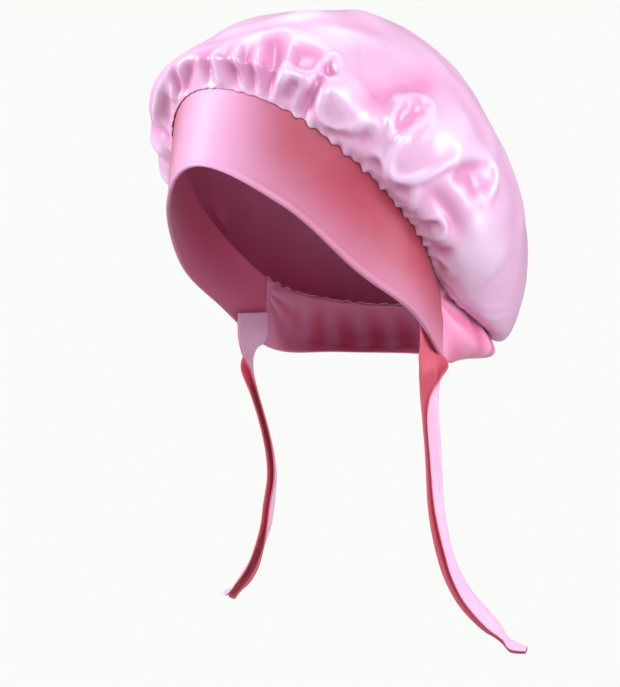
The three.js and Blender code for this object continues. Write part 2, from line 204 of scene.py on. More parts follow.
SIDE_FOLDS = [
    {"through": [(36, 0.22), (38, 0.278), (43, 0.383)], "height": -3.6, "width": 10},
    {
        "through": [
            (36.5, 0.05),
            (40.5, 0.165),
            (43, 0.242),
            (46.5, 0.325),
            (50.5, 0.367),
            (52, 0.34),
            (51, 0.3),
        ],
        "height": 3.3,
        "width": 2.1,
    },
    {"through": [(45.5, 0.27), (50, 0.31)], "height": -5.5, "width": 5.5},
    {
        "through": [(38, 0.01), (40.5, 0.115), (43, 0.193), (43.5, 0.24)],
        "height": -6.5,
        "width": 3.4,
    },
    {"through": [(51, 0.13), (57, 0.22), (62, 0.3)], "height": 3.5, "width": 11},
    {
        "through": [
            (44, 0.212),
            (45, 0.165),
            (44, 0.11),
            (45.5, 0.07),
            (49.5, 0.068),
            (54.5, 0.118),
            (61.5, 0.193),
        ],
        "height": 2.4,
        "width": 2,
    },
    {"through": [(47, 0.04), (51, 0.05), (56, 0.09)], "height": -3, "width": 3},
    {
        "through": [(51, 0.045), (54.5, 0.088), (58, 0.15), (61.5, 0.182), (63.5, 0.16)],
        "height": 1.9,
        "width": 1.9,
    },
    {"through": [(57, 0.08), (61, 0.14)], "height": -2.5, "width": 4},
    {
        "through": [(50.5, 0.147), (61.5, 0.26), (73.5, 0.378), (93, 0.525)],
        "height": -4,
        "width": 8,
    },
    {
        "through": [
            (66.5, 0.18),
            (69, 0.273),
            (73, 0.343),
            (79, 0.398),
            (83, 0.403),
            (83.5, 0.378),
            (80, 0.328),
            (74, 0.253),
            (70, 0.185),
            (68, 0.128),
            (68.5, 0.09),
            (71, 0.083),
            (75.5, 0.118),
            (80, 0.168),
            (85, 0.23),
            (90.5, 0.28),
            (98, 0.33),
            (104, 0.355),
            (106.5, 0.345),
            (106.5, 0.315),
            (103.5, 0.263),
        ],
        "height": 3.9,
        "width": 2.2,
        "ends": 0.08,
    },
    {"through": [(79, 0.36), (74.5, 0.295), (69, 0.215)], "height": -3.6, "width": 7},
    {"through": [(78, 0.28), (83, 0.3), (92, 0.36), (96, 0.45)], "height": 2.5, "width": 10},
    {"through": [(89, 0.25), (96, 0.27), (101, 0.25)], "height": -4.6, "width": 8},
    {"through": [(87, 0.285), (99, 0.352), (112, 0.405)], "height": 1.6, "width": 3.5},
    {
        "through": [(62.5, 0.07), (64, 0.103), (66, 0.09), (68, 0.058), (70.5, 0.048)],
        "height": 2.4,
        "width": 1.9,
    },
    {"through": [(63, 0.03), (64.5, 0.07), (66.5, 0.04)], "height": -3, "width": 3},
    {"through": [(72, 0.05), (76, 0.08)], "height": -3.5, "width": 3.5},
    {"through": [(77.5, 0.115), (83, 0.195), (90.5, 0.275)], "height": -1.4, "width": 1.8},
    {"through": [(80, 0.03), (78, 0.083), (78, 0.115)], "height": 2.2, "width": 2},
    {
        "through": [
            (83, 0.045),
            (85.5, 0.088),
            (89.5, 0.105),
            (91.5, 0.092),
            (91, 0.055),
            (91.5, 0.01),
        ],
        "height": 2.4,
        "width": 1.9,
    },
    {"through": [(86.5, 0.02), (86.5, 0.068), (88.5, 0.078)], "height": -3.6, "width": 3.4},
    {"through": [(95, 0.01), (97, 0.04), (96, 0.08)], "height": -3, "width": 4},
    {
        "through": [(100.5, 0.02), (102, 0.045), (105.5, 0.047), (109, 0.02)],
        "height": 1.9,
        "width": 1.9,
    },
    {"through": [(103.5, 0.01), (106, 0.022)], "height": -2.6, "width": 2.8},
    {
        "through": [(111, 0.013), (113.5, 0.033), (117.5, 0.048), (124, 0.05)],
        "height": 1.5,
        "width": 1.9,
    },
    {"through": [(81, 0.14), (87, 0.14), (92, 0.13), (101, 0.12)], "height": -3.5, "width": 6},
    {"through": [(98, 0.18), (107, 0.15), (120, 0.16)], "height": 3.5, "width": 13},
    {"through": [(127, 0.08), (132, 0.1), (137, 0.145)], "height": 1.1, "width": 1.8},
    {
        "through": [
            (116, 0.004),
            (124, 0.012),
            (131, 0.03),
            (138, 0.05),
            (146, 0.065),
            (154, 0.08),
        ],
        "height": 3,
        "width": 4,
    },
    {"through": [(124, 0.09), (129, 0.115), (134, 0.16)], "height": 0.9, "width": 1.8},
]
LEFT_FOLDS = [
    {"through": [(-4, 0.16), (-10, 0.095), (-15.5, 0.045), (-17, 0)], "height": -4, "width": 4.5},
    {"through": [(-10.5, 0.143), (-15.5, 0.07), (-19.5, 0)], "height": 3.3, "width": 2.3},
    {"through": [(-19, 0.15), (-20, 0.08), (-22, 0.02)], "height": -3.5, "width": 4},
    {"through": [(-22.5, 0.083), (-24.5, 0.055), (-26.5, 0.028)], "height": 2.7, "width": 2.1},
    {
        "through": [(-25.5, 0.13), (-37, 0.107), (-45, 0.098), (-46, 0.055)],
        "height": 3.4,
        "width": 2.3,
    },
    {"through": [(-29, 0.075), (-37, 0.06), (-42, 0.03)], "height": -3, "width": 4.5},
    {
        "through": [(-47.5, 0.01), (-50.5, 0.085), (-54, 0.13), (-58, 0.18)],
        "height": -4.5,
        "width": 5,
    },
    {"through": [(-56, 0.04), (-61.5, 0.128), (-66, 0.2)], "height": 2.5, "width": 5},
    {"through": [(-61.5, 0.05), (-65, 0.11), (-68, 0.15)], "height": -3.5, "width": 2.6},
    {"through": [(-69, 0.04), (-73, 0.12), (-76, 0.2)], "height": 2.5, "width": 6},
]
TOP_FOLDS = [
    {"through": [(-14, 0.355), (-7, 0.492), (18, 0.58), (59.5, 0.725)], "height": 2.4, "width": 8},
    {"through": [(-24, 0.4), (-10, 0.57), (25, 0.68)], "height": -2.2, "width": 8},
    {"through": [(63, 0.485), (58.5, 0.297), (60, 0.26)], "height": -0.6, "width": 1.2},
    {"through": [(76.5, 0.588), (75.5, 0.505), (82.5, 0.47)], "height": -0.6, "width": 1.2},
    {"through": [(96.5, 0.478), (92, 0.393), (90, 0.34)], "height": -0.6, "width": 1.2},
]
# Between these angles, gathers of the same kind go on round the far side: how far apart they stand
# and how that varies, how far up they reach, how far they lean and bend and how much of the lean
# comes by half way, and the heights and widths of the ridges and of the hollows beside them, which
# reach up a share of the way that the ridges do.
FAR_GATHERS = {
    "from": 152,
    "to": 280,
    "seed": 11,
    "spacing": 8.2,
    "vary": (0.7, 1.35),
    "reach": (22, 80),
    "lean": 7,
    "bend": 3,
    "half_way": 0.4,
    "beside": 0.8,
}
FAR_RIDGE = {"height": (2.2, 3.6), "width": (2.8, 4.2)}
FAR_HOLLOW = {"height": (-5.5, -3.5), "width": (4.4, 6.2)}
# The way from the hem to the top over either side, and how much further it is over the rear.
CROWN_TALL = {"side": 215, "rear": 80}
# The slow swells of the crown, which set in between these shares of the way to the top.
UNDULATION = {"height": 0.6, "length": 58, "from": 0.1, "to": 0.3}

# The left tie from its sewn end down, along the line of its lengthwise fold: where the line runs,
# the way that the leaf behind the fold points, seen from above, and how far that leaf drops away
# across the run, then the widths of the leaf behind and the leaf in front, and how far the front
# leaf is folded over, in degrees.
TIE_COLUMNS = ["x", "y", "z", "leaf_to", "dip", "behind", "front", "folded"]
TIE = [
    (69.8, 23.6, 0, -71, 0, 11, 6.6, 0),
    (69.8, 23.6, -13, -72, 0, 10.8, 6.4, 0),
    (70.8, 24, -20.5, -84, 0, 10.6, 6, 8),
    (73.1, 24.6, -27, -102, 0, 10, 5.6, 45),
    (74.8, 24.4, -34, -120, 0, 9.4, 5.2, 105),
    (75.9, 23.5, -45, -132, 0, 8.6, 5.6, 150),
    (77.3, 22.8, -58, -137, 0, 8, 6, 166),
    (79.4, 22.4, -80, -134, 0, 7.6, 6, 166),
    (81.2, 21.8, -105, -122, 0, 7.6, 6.2, 165),
    (83.7, 22.2, -122, -112, 2, 8, 6.6, 164),
    (87.2, 23.2, -136, -112, 12, 8, 6.3, 162),
    (93.2, 24.1, -148, -122, 26, 8.5, 6.3, 160),
    (101.3, 26, -159, -132, 38, 9.5, 6.8, 160),
    (110.3, 28.3, -168, -138, 42, 9.5, 7, 160),
    (118, 30, -176, -140, 38, 7.5, 6, 158),
    (122.8, 31, -183, -140, 30, 3.4, 3, 150),
    (128, 32.2, -185.5, -140, 60, 5.2, 4.6, 150),
    (135.3, 34.8, -188.2, -140, 60, 2.4, 2, 150),
]
TIE_LENGTH = 212
TIE_WALL = 0.9
TIE_FOLD_WIDTH = 4.4
# In radians: where a tie lies flat, it is still folded over by this much.
TIE_LEAST_FOLD = 0.02
TIE_STEPS = 190
TIE_FOLD_STEPS = 10
TIE_LEAF_STEPS = 6
# The run of the line at a place is taken this share of its length to either side.
TIE_LOOK = 0.01
TIE_SHADE = 0.7
# The right tie hangs like the left one, but leans inward and back between these two drops.
RIGHT_LEAN = {"inward": 22, "back": 12, "from": 14, "to": 110}

# The camera looks at a point this far to its right of the origin and this far above it.
CAMERA = {"azimuth": 41.34, "elevation": 4, "distance": 1250, "aside": -0.77, "height": -15.15}
# The focal length in pixels of a picture this high, and the height of the sensor.
PICTURE_HEIGHT = 687
FOCAL_PIXELS = 2075.7
SENSOR = 36
# The colour of the backdrop and the floor in the picture, then the floor itself and the light of
# the room.
BACKDROP = (0.955, 0.965, 0.94, 1)
FLOOR = {"height": -230, "radius": 12000, "corners": 96, "colour": (0.4, 0.404, 0.39)}
FLOOR_ROUGHNESS = 0.9
ROOM_LIGHT = {"Color": (0.97, 0.95, 1.0, 1), "Strength": 0.44}
# The soft lights: the way to each, as shares of the camera's right, of the way back to the camera
# and of up, then its distance and its width and height in metres, its power and its colour. They
# stand round a point a little above the origin.
COOL = (0.96, 0.95, 1.0)
WHITE = (1, 1, 1)
LIGHTS = [
    ("left_light", (-1.0, 0.1, 0.35), 1.3, (0.6, 0.9), 17, COOL),
    ("front_light", (0.25, 0.8, 0.4), 1.5, (0.7, 0.8), 14, COOL),
    ("right_light", (0.95, 0.3, 0), 1.3, (0.5, 0.9), 8.5, COOL),
    ("top_light", (0, -0.2, 1.0), 1.3, (0.6, 0.6), 4, WHITE),
]
LIGHTS_ABOVE = 0.05

# How often the cloth's shade and its slight crumples change in a metre, and the threads across and
# along it. Then how far its shade and its gloss vary, and how the threads and crumples stand out,
# with their heights in metres.
PATCHES = {"Scale": 34, "Detail": 3}
CRUMPLES = {"Scale": 75, "Detail": 3}
THREADS = (2600, 300)
THREAD_NOISE = {"Scale": 1, "Detail": 2}
SHADE_VARIES = 0.1
GLOSS_VARIES = 0.05
THREAD_BUMP = {"Strength": 0.35, "Distance": 0.00005}
CRUMPLE_BUMP = {"Strength": 0.5, "Distance": 0.0006}


def smoothstep(value, low, high):
    share = np.clip((np.asarray(value, float) - low) / (high - low), 0, 1)
    return share * share * (3 - 2 * share)


def cubic(a, b, c, d, f):
    return b + 0.5 * f * (c - a + f * (2 * a - 5 * b + 4 * c - d + f * (3 * (b - c) + d - a)))


def from_front(degrees):
    """The angle from the front, counted alike on both sides."""
    return np.abs((degrees + 180) % 360 - 180)


def around(values, degrees):
    """Reads a table of values at even steps from 0 to 180 degrees, mirrored at both ends."""
    values = np.asarray(values, float)
    last = len(values) - 1
    place = from_front(np.asarray(degrees, float)) / RING_STEP
    i = np.minimum(np.floor(place).astype(int), last - 1)

    def at(k):
        k = np.abs(k)
        return values[np.where(k > last, 2 * last - k, k)]

    return cubic(at(i - 1), at(i), at(i + 1), at(i + 2), place - i)


def along(values, share):
    """Reads a list of values or points at a share of the way along it, smoothly."""
    values = np.asarray(values, float)
    last = len(values) - 1
    place = np.asarray(share, float) * last
    i = np.minimum(np.floor(place).astype(int), last - 1)
    f = (place - i).reshape(place.shape + (1,) * (values.ndim - 1))
    at = [values[np.clip(i + k, 0, last)] for k in (-1, 0, 1, 2)]
    return cubic(*at, f)


def outward_at(degrees):
    turn = np.radians(degrees)
    return np.stack([np.sin(turn), -np.cos(turn), np.zeros_like(turn)], axis=-1)


def on_ring(name, degrees):
    reach, height = RINGS[name]
    point = outward_at(degrees) * around(reach, degrees)[..., None]
    point[..., 2] = around(height, degrees)
    return point


def curve_through(points):
    """Centripetal curves through points[row][column], as dense rows of points."""
    path = [2 * points[0] - points[1], *points, 2 * points[-1] - points[-2]]
    dense = []
    for a, b, c, d in zip(path, path[1:], path[2:], path[3:]):
        ab, bc, cd = (
            np.maximum(np.sqrt(np.linalg.norm(q - p, axis=-1, keepdims=True)), 1e-4)
            for p, q in ((a, b), (b, c), (c, d))
        )
        out = ((b - a) / ab - (c - a) / (ab + bc) + (c - b) / bc) * bc
        to = ((c - b) / bc - (d - b) / (bc + cd) + (d - c) / cd) * bc
        bend = 3 * (c - b) - 2 * out - to
        twist = 2 * (b - c) + out + to
        for f in np.arange(CURVE_STEPS) / CURVE_STEPS:
            dense.append(b + f * (out + f * (bend + f * twist)))
    dense.append(points[-1])
    return np.array(dense)


def by_length(curves, shares):
    """The points at shares of the length of each curve, as grid[column][row]."""
    steps = np.linalg.norm(np.diff(curves, axis=0), axis=-1)
    walked = np.concatenate([np.zeros((1, curves.shape[1])), np.cumsum(steps, axis=0)])
    grid = np.empty((curves.shape[1], len(shares), 3))
    for i in range(curves.shape[1]):
        wanted = np.asarray(shares) * walked[-1, i]
        for k in range(3):
            grid[i, :, k] = np.interp(wanted, walked[:, i], curves[:, i, k])
    return grid


def over_nape(degrees):
    """0 where the crown is sewn to the band, 1 where it is sewn to the nape piece."""
    start, end = HEM_PASSES
    return smoothstep(from_front(degrees), BAND_END - start, BAND_END - end)


def crown_curves(degrees):
    """From the hem, which laps over the band but stops short of the nape piece, up to the pole."""
    points = [on_ring(name, degrees) for name in CROWN_RINGS]
    points[0] = points[0] + outward_at(degrees) * HEM_OUTSET
    points[0][..., 2] -= HEM_DROP - (HEM_DROP + HEM_LIFT) * over_nape(degrees)
    points.append(np.broadcast_to(POLE, points[0].shape))
    return curve_through(points)


def on_crown(degrees, shares):
    """The places on the unfolded crown at pairs of an angle and a share of the way to the top."""
    curves = crown_curves(np.asarray(degrees, float))
    return np.array([by_length(curves[:, i : i + 1], [s])[0, 0] for i, s in enumerate(shares)])


def grid_normals(grid, closed):
    """Outward normals of grid[column][row], from its neighbours."""
    if closed:
        across = np.roll(grid, -1, axis=0) - np.roll(grid, 1, axis=0)
    else:
        across = np.gradient(grid, axis=0)
    normals = np.cross(across, np.gradient(grid, axis=1))
    return normals / np.maximum(np.linalg.norm(normals, axis=-1, keepdims=True), 1e-9)


def blurred(grid, passes, closed):
    """Evens out grid[column][row] with its neighbours."""
    for _ in range(passes):
        if closed:
            grid = (grid + np.roll(grid, 1, axis=0) + np.roll(grid, -1, axis=0)) / 3
        else:
            wide = np.concatenate([grid[:1], grid, grid[-1:]])
            grid = (wide[:-2] + grid + wide[2:]) / 3
        tall = np.concatenate([grid[:, :1], grid, grid[:, -1:]], axis=1)
        grid = (tall[:, :-2] + grid + tall[:, 2:]) / 3
    return grid


def fold_height(points, folds):
    """How far each point of the crown is pushed out by its folds."""
    flat = points.reshape(-1, 3)
    height = np.zeros(len(flat))
    for fold in folds:
        share = np.linspace(0, 1, FOLD_STEPS * (len(fold["through"]) - 1) + 1)
        places = along(fold["through"], share)
        line = on_crown(places[:, 0], places[:, 1])
        felt = FOLD_REACH * fold["width"]
        low, high = line.min(0) - felt, line.max(0) + felt
        near = np.flatnonzero(((flat > low) & (flat < high)).all(1))
        apart = np.linalg.norm(flat[near, None] - line[None], axis=-1)
        nearest = apart.argmin(1)
        fade = (FOLD_BEYOND, fold.get("ends", FOLD_ENDS))
        where = share[nearest]
        taper = smoothstep(where, *fade) * smoothstep(1 - where, *fade)
        reach = apart[np.arange(len(near)), nearest] / fold["width"]
        height[near] += fold["height"] * taper * np.exp(-(reach**2))
    return height.reshape(points.shape[:-1])


def far_fold(chance, through, sizes):
    height = chance.uniform(*sizes["height"])
    width = chance.uniform(*sizes["width"])
    return {"through": through, "height": height, "width": width}


def far_gathers():
    """Ridges with hollows between them, unevenly spaced along the hem and of uneven length."""
    gathers = FAR_GATHERS
    chance = np.random.default_rng(gathers["seed"])
    folds = []
    degrees = gathers["from"]
    while degrees < gathers["to"]:
        tall = CROWN_TALL["side"] + CROWN_TALL["rear"] * math.cos(math.radians(degrees - 180))
        reach = chance.uniform(*gathers["reach"]) / tall
        lean = chance.uniform(-gathers["lean"], gathers["lean"])
        bend = chance.uniform(-gathers["bend"], gathers["bend"])
        half_way = (degrees + lean * gathers["half_way"] + bend, reach / 2)
        through = [(degrees, 0), half_way, (degrees + lean, reach)]
        folds.append(far_fold(chance, through, FAR_RIDGE))
        step = gathers["spacing"] * chance.uniform(*gathers["vary"])
        beside = [(a + step / 2, b * gathers["beside"]) for a, b in through]
        folds.append(far_fold(chance, beside, FAR_HOLLOW))
        degrees += step
    return folds


def undulation(points):
    """Slow uneven swells of the cloth, from a few crossed waves."""
    turns = points * 2 * math.pi / UNDULATION["length"]
    x, y, z = turns[..., 0], turns[..., 1], turns[..., 2]
    crossed = np.sin(x + 1.3 * np.sin(y)) * np.cos(0.8 * z + y)
    rising = np.sin(1.7 * y + 1.1 * np.sin(1.4 * z))
    return UNDULATION["height"] * (crossed + 0.6 * rising)


def wave(degrees, waves, drift, drifts, **_):
    turn = np.radians(degrees)
    return np.sin(waves * turn + drift * np.sin(drifts * turn))


def stand_out(height, relief):
    """From 0 at the bottom of a hollow to 1 on top of a fold."""
    return smoothstep(height, -relief, relief)


def cloth(name, outer, inner, closed, uv, stand, top=None):
    """A thin closed body between two facing grids of points, with its inner side as material 1."""
    columns, rows = outer.shape[:2]
    points = np.concatenate([outer.reshape(-1, 3), inner.reshape(-1, 3)])
    index = np.arange(2 * columns * rows).reshape(2, columns, rows)
    if closed:
        index = np.concatenate([index, index[:, :1]], axis=1)
    a, b = index[:, :-1, :-1], index[:, 1:, :-1]
    c, d = index[:, 1:, 1:], index[:, :-1, 1:]
    faces = [
        np.stack([a[0], b[0], c[0], d[0]], axis=-1).reshape(-1, 4),
        np.stack([a[1], d[1], c[1], b[1]], axis=-1).reshape(-1, 4),
    ]
    sides = [0] * len(faces[0]) + [1] * len(faces[1])
    edges = [(index[1, :, 0], index[0, :, 0])]
    if top is None:
        edges.append((index[0, :, -1], index[1, :, -1]))
    if not closed:
        edges.append((index[0, 0], index[1, 0]))
        edges.append((index[1, -1], index[0, -1]))
    for first, second in edges:
        faces.append(np.stack([first[:-1], first[1:], second[1:], second[:-1]], axis=-1))
        sides += [0] * (len(first) - 1)
    faces = [list(map(int, face)) for part in faces for face in part]
    uv = np.concatenate([uv.reshape(-1, 2)] * 2)
    stand = np.concatenate([np.broadcast_to(stand, (columns, rows)).ravel()] * 2)
    if top is not None:
        tips = [len(points), len(points) + 1]
        points = np.concatenate([points, top])
        uv = np.concatenate([uv, [uv[rows - 1]] * 2])
        stand = np.append(stand, [POLE_PAINTED_SHADE] * 2)
        for side, tip in enumerate(tips):
            last = index[side, :, -1]
            for p, q in zip(last[:-1], last[1:]):
                faces.append([int(p), int(q), tip] if side == 0 else [int(q), int(p), tip])
                sides.append(side)
    mesh = bpy.data.meshes.new(name)
    mesh.from_pydata((points * MM).tolist(), [], faces)
    mesh.polygons.foreach_set("material_index", sides)
    mesh.polygons.foreach_set("use_smooth", [True] * len(faces))
    layer = mesh.uv_layers.new(name="cut")
    corners = np.empty(len(mesh.loops), int)
    mesh.loops.foreach_get("vertex_index", corners)
    layer.data.foreach_set("uv", (uv[corners] * MM).ravel())
    mesh.attributes.new("stand", "FLOAT", "POINT").data.foreach_set("value", stand)
    mesh.validate()
    mesh.update()
    piece = bpy.data.objects.new(name, mesh)
    bpy.context.scene.collection.objects.link(piece)
    return piece


def hem_puckers(around_hem, up):
    """The waves of the puckers, and how far the cloth stands out where the hem is sewn down."""
    size = PUCKER_SIZE
    strength = smoothstep(from_front(around_hem), size["from"], size["to"])
    strength = size["calm"] + (1 - size["calm"]) * strength
    fade = np.exp(-((up / size["fade"]) ** 2))
    pucker = wave(around_hem, **PUCKERS) + CROSS_SHARE * wave(around_hem, **CROSS_PUCKERS)
    pucker = size["swing"] * strength * pucker * fade
    return pucker, size["depth"] * (pucker + size["lift"] + strength * fade)


def crown_piece():
    degrees = np.arange(CROWN_COLUMNS) * 360 / CROWN_COLUMNS
    shares = (np.arange(CROWN_ROWS) / CROWN_ROWS) ** ROW_CROWDING
    smooth = by_length(crown_curves(degrees), shares)
    normals = blurred(grid_normals(smooth, True), NORMAL_BLUR, True)
    normals /= np.linalg.norm(normals, axis=-1, keepdims=True)
    around_hem, up = degrees[:, None], shares[None, :]
    calm = smoothstep(up, 0, HEM_CALM)
    folds = FRONT_GATHERS + SIDE_FOLDS + LEFT_FOLDS + TOP_FOLDS + far_gathers()
    height = calm * fold_height(smooth, folds)
    height += smoothstep(up, UNDULATION["from"], UNDULATION["to"]) * undulation(smooth)
    far = smoothstep(around_hem, GATHERED["from"], GATHERED["from"] + GATHERED["fade"])
    far = far * (1 - smoothstep(around_hem, GATHERED["to"] - GATHERED["fade"], GATHERED["to"]))
    for gather in GATHERS:
        fade = np.exp(-((up / gather["fade"]) ** 2))
        height += calm * far * gather["depth"] * wave(around_hem, **gather) * fade
    pucker, stands_out = hem_puckers(around_hem, up)
    height += stands_out
    clear = NAPE_CLEARANCE
    close = over_nape(around_hem) * (1 - smoothstep(up, clear["from"], clear["to"]))
    height = np.maximum(height, -clear["depth"] - clear["free"] * (1 - close))
    outer = smooth + normals * height[..., None]
    outer += calm[..., None] * (blurred(outer, CLOTH_BLUR, True) - outer)
    scallop = SCALLOPS["depth"] * (1 - SCALLOPS["flatter"] * over_nape(around_hem))
    outer[..., 2] -= scallop * np.maximum(pucker, SCALLOPS["rise"])
    inner = outer - grid_normals(outer, True) * CROWN_WALL
    reach = CROWN_CUT * (1 - up)
    turn = np.radians(around_hem)
    uv = np.stack([reach * np.sin(turn), -reach * np.cos(turn)], axis=-1)
    top = np.array([POLE, POLE - [0, 0, CROWN_WALL]])
    # The stand value puts painted shade into the hollows and painted light onto the folds.
    return cloth("crown_cloth", outer, inner, True, uv, stand_out(height, CROWN_RELIEF), top)


def band_bow(shares):
    return BAND_BOW * 4 * shares * (1 - shares)


def band_piece():
    degrees = np.linspace(-BAND_END, BAND_END, BAND_COLUMNS + 1)
    shares, swells = np.array(BAND_ROWS).T
    low, high = on_ring("rim", degrees)[:, None], on_ring("seam", degrees)[:, None]
    middle = low + (high - low) * shares[None, :, None]
    outward = outward_at(degrees)[:, None]
    outer = middle + outward * (band_bow(shares) + swells)[None, :, None]
    inner = middle + outward * (band_bow(shares) + BAND_SWELL - BAND_WALL)[None, :, None]
    width = np.linalg.norm(high - low, axis=-1)
    up_cloth = width * shares
    uv = np.stack([np.broadcast_to(degrees[:, None] * BAND_CUT, up_cloth.shape), up_cloth], axis=-1)
    # Painted shade under the crown's overhang: the band's stand value falls towards its shaded
    # colour there.
    painted_shade = smoothstep(np.abs(degrees)[:, None], *BAND_PAINTED_SHADE["around"])
    painted_shade = painted_shade * smoothstep(shares[None], *BAND_PAINTED_SHADE["up"])
    return cloth("band_cloth", outer, inner, False, uv, 1 - painted_shade)


def nape_piece():
    """Flush with the band at both ends, creased from there like a fan, and pleated in the middle."""
    edge = math.degrees(NAPE_GAP / around(RINGS["seam"][0], BAND_END))
    across = np.linspace(-1, 1, NAPE_COLUMNS + 1)
    degrees = 180 + (180 - BAND_END - edge) * across
    shares = np.linspace(0, 1, NAPE_ROWS + 1)
    rings = [on_ring(name, degrees) for name in ("rim", "belly", "seam")]
    loose = by_length(curve_through(rings), shares)
    taut = rings[0][:, None] + (rings[2] - rings[0])[:, None] * shares[None, :, None]
    beside = np.abs(across)[:, None]
    at_end = smoothstep(beside, *NAPE_FLUSH)
    smooth = loose + (taut - loose) * at_end[..., None]
    pleats, fan = NAPE_PLEATS, NAPE_FAN
    drift = np.sin(pleats["drift"] * across[:, None])
    pleat = np.sin(pleats["number"] * math.pi * (across[:, None] + 1) + drift)
    fanned = smoothstep(beside, *fan["from"])
    down = (fan["pinch"] - shares[None]) * NAPE_WIDTH
    along_it = (1 - beside) * NAPE_HALF + fan["beyond"]
    spread, reach = np.arctan2(down, along_it), np.hypot(down, along_it)
    crease = np.cos(fan["creases"] * spread) * smoothstep(reach, *fan["rise"])
    crease = crease * np.exp(-((reach / fan["fade"]) ** 2))
    height = pleats["depth"] * np.sin(math.pi * shares[None]) * (1 - fanned) * pleat
    height = height + fan["depth"] * fanned * crease + at_end * (band_bow(shares) + BAND_SWELL)
    outer = smooth + outward_at(degrees)[:, None] * height[..., None]
    inner = outer - grid_normals(outer, False) * NAPE_WALL
    wide = np.broadcast_to(across[:, None] * NAPE_HALF, height.shape)
    uv = np.stack([wide, np.broadcast_to(shares * NAPE_WIDTH, height.shape)], axis=-1)
    # The stand value puts painted shade into the pleats' hollows and painted light onto their tops.
    return cloth("nape_cloth", outer, inner, False, uv, stand_out(height, NAPE_RELIEF))


def tie_section(share):
    """The middle line of the tie's section at one station, from the free edge of the leaf behind,
    round the fold, to the free edge of the leaf in front."""
    row = dict(zip(TIE_COLUMNS, along(TIE, share)))
    ends = along(np.array(TIE)[:, :3], np.clip([share - TIE_LOOK, share + TIE_LOOK], 0, 1))
    run = (ends[1] - ends[0]) / np.linalg.norm(ends[1] - ends[0])
    fold = np.array([row["x"], row["y"], row["z"]])
    turn, dip = math.radians(row["leaf_to"]), math.radians(row["dip"])
    level = math.cos(dip)
    leaf = np.array([math.cos(turn) * level, math.sin(turn) * level, -math.sin(dip)])
    leaf -= run * (leaf @ run)
    leaf /= np.linalg.norm(leaf)
    face = np.cross(leaf, run)
    folded = max(math.radians(row["folded"]), TIE_LEAST_FOLD)
    radius = TIE_FOLD_WIDTH / folded
    points = []
    for k in range(TIE_LEAF_STEPS):
        points.append(fold + leaf * row["behind"] * (1 - k / TIE_LEAF_STEPS))
    for k in range(TIE_FOLD_STEPS + 1):
        angle = folded * k / TIE_FOLD_STEPS
        past_fold = leaf * radius * math.sin(angle)
        points.append(fold - past_fold + face * radius * (1 - math.cos(angle)))
    over = face * math.sin(folded) - leaf * math.cos(folded)
    end = points[-1]
    for k in range(1, TIE_LEAF_STEPS + 1):
        points.append(end + over * row["front"] * k / TIE_LEAF_STEPS)
    return points


def tie_piece(name, side):
    middle = np.array([tie_section(k / TIE_STEPS) for k in range(TIE_STEPS + 1)])
    if side < 0:
        drop = TIE[0][2] - middle[:, :1, 2]
        lean = smoothstep(drop, RIGHT_LEAN["from"], RIGHT_LEAN["to"])
        middle[..., 0] = RIGHT_LEAN["inward"] * lean - middle[..., 0]
        middle[..., 1] += RIGHT_LEAN["back"] * lean
        middle = middle[:, ::-1]
    half = grid_normals(middle, False) * TIE_WALL / 2
    widths = np.linalg.norm(np.diff(middle, axis=1), axis=-1)
    wide = np.concatenate([np.zeros((len(middle), 1)), np.cumsum(widths, axis=1)], axis=1)
    down = np.arange(len(middle))[:, None] * TIE_LENGTH / TIE_STEPS
    uv = np.stack([wide, np.broadcast_to(down, wide.shape)], axis=-1)
    return cloth(name, middle + half, middle - half, False, uv, TIE_SHADE)


def material(name, colour, roughness, **sockets):
    made = bpy.data.materials.new(name)
    made.use_nodes = True
    shader = made.node_tree.nodes["Principled BSDF"]
    shader.inputs["Base Color"].default_value = (*colour, 1)
    shader.inputs["Roughness"].default_value = roughness
    for socket, value in sockets.items():
        shader.inputs[socket.replace("_", " ")].default_value = value
    return made


def add(tree, kind, inputs, **settings):
    """Adds a shader node, with its inputs linked or set."""
    made = tree.nodes.new("ShaderNode" + kind)
    for name, value in settings.items():
        setattr(made, name, value)
    for socket, value in inputs.items():
        if isinstance(value, bpy.types.NodeSocket):
            tree.links.new(value, made.inputs[socket])
        else:
            made.inputs[socket].default_value = value
    return made


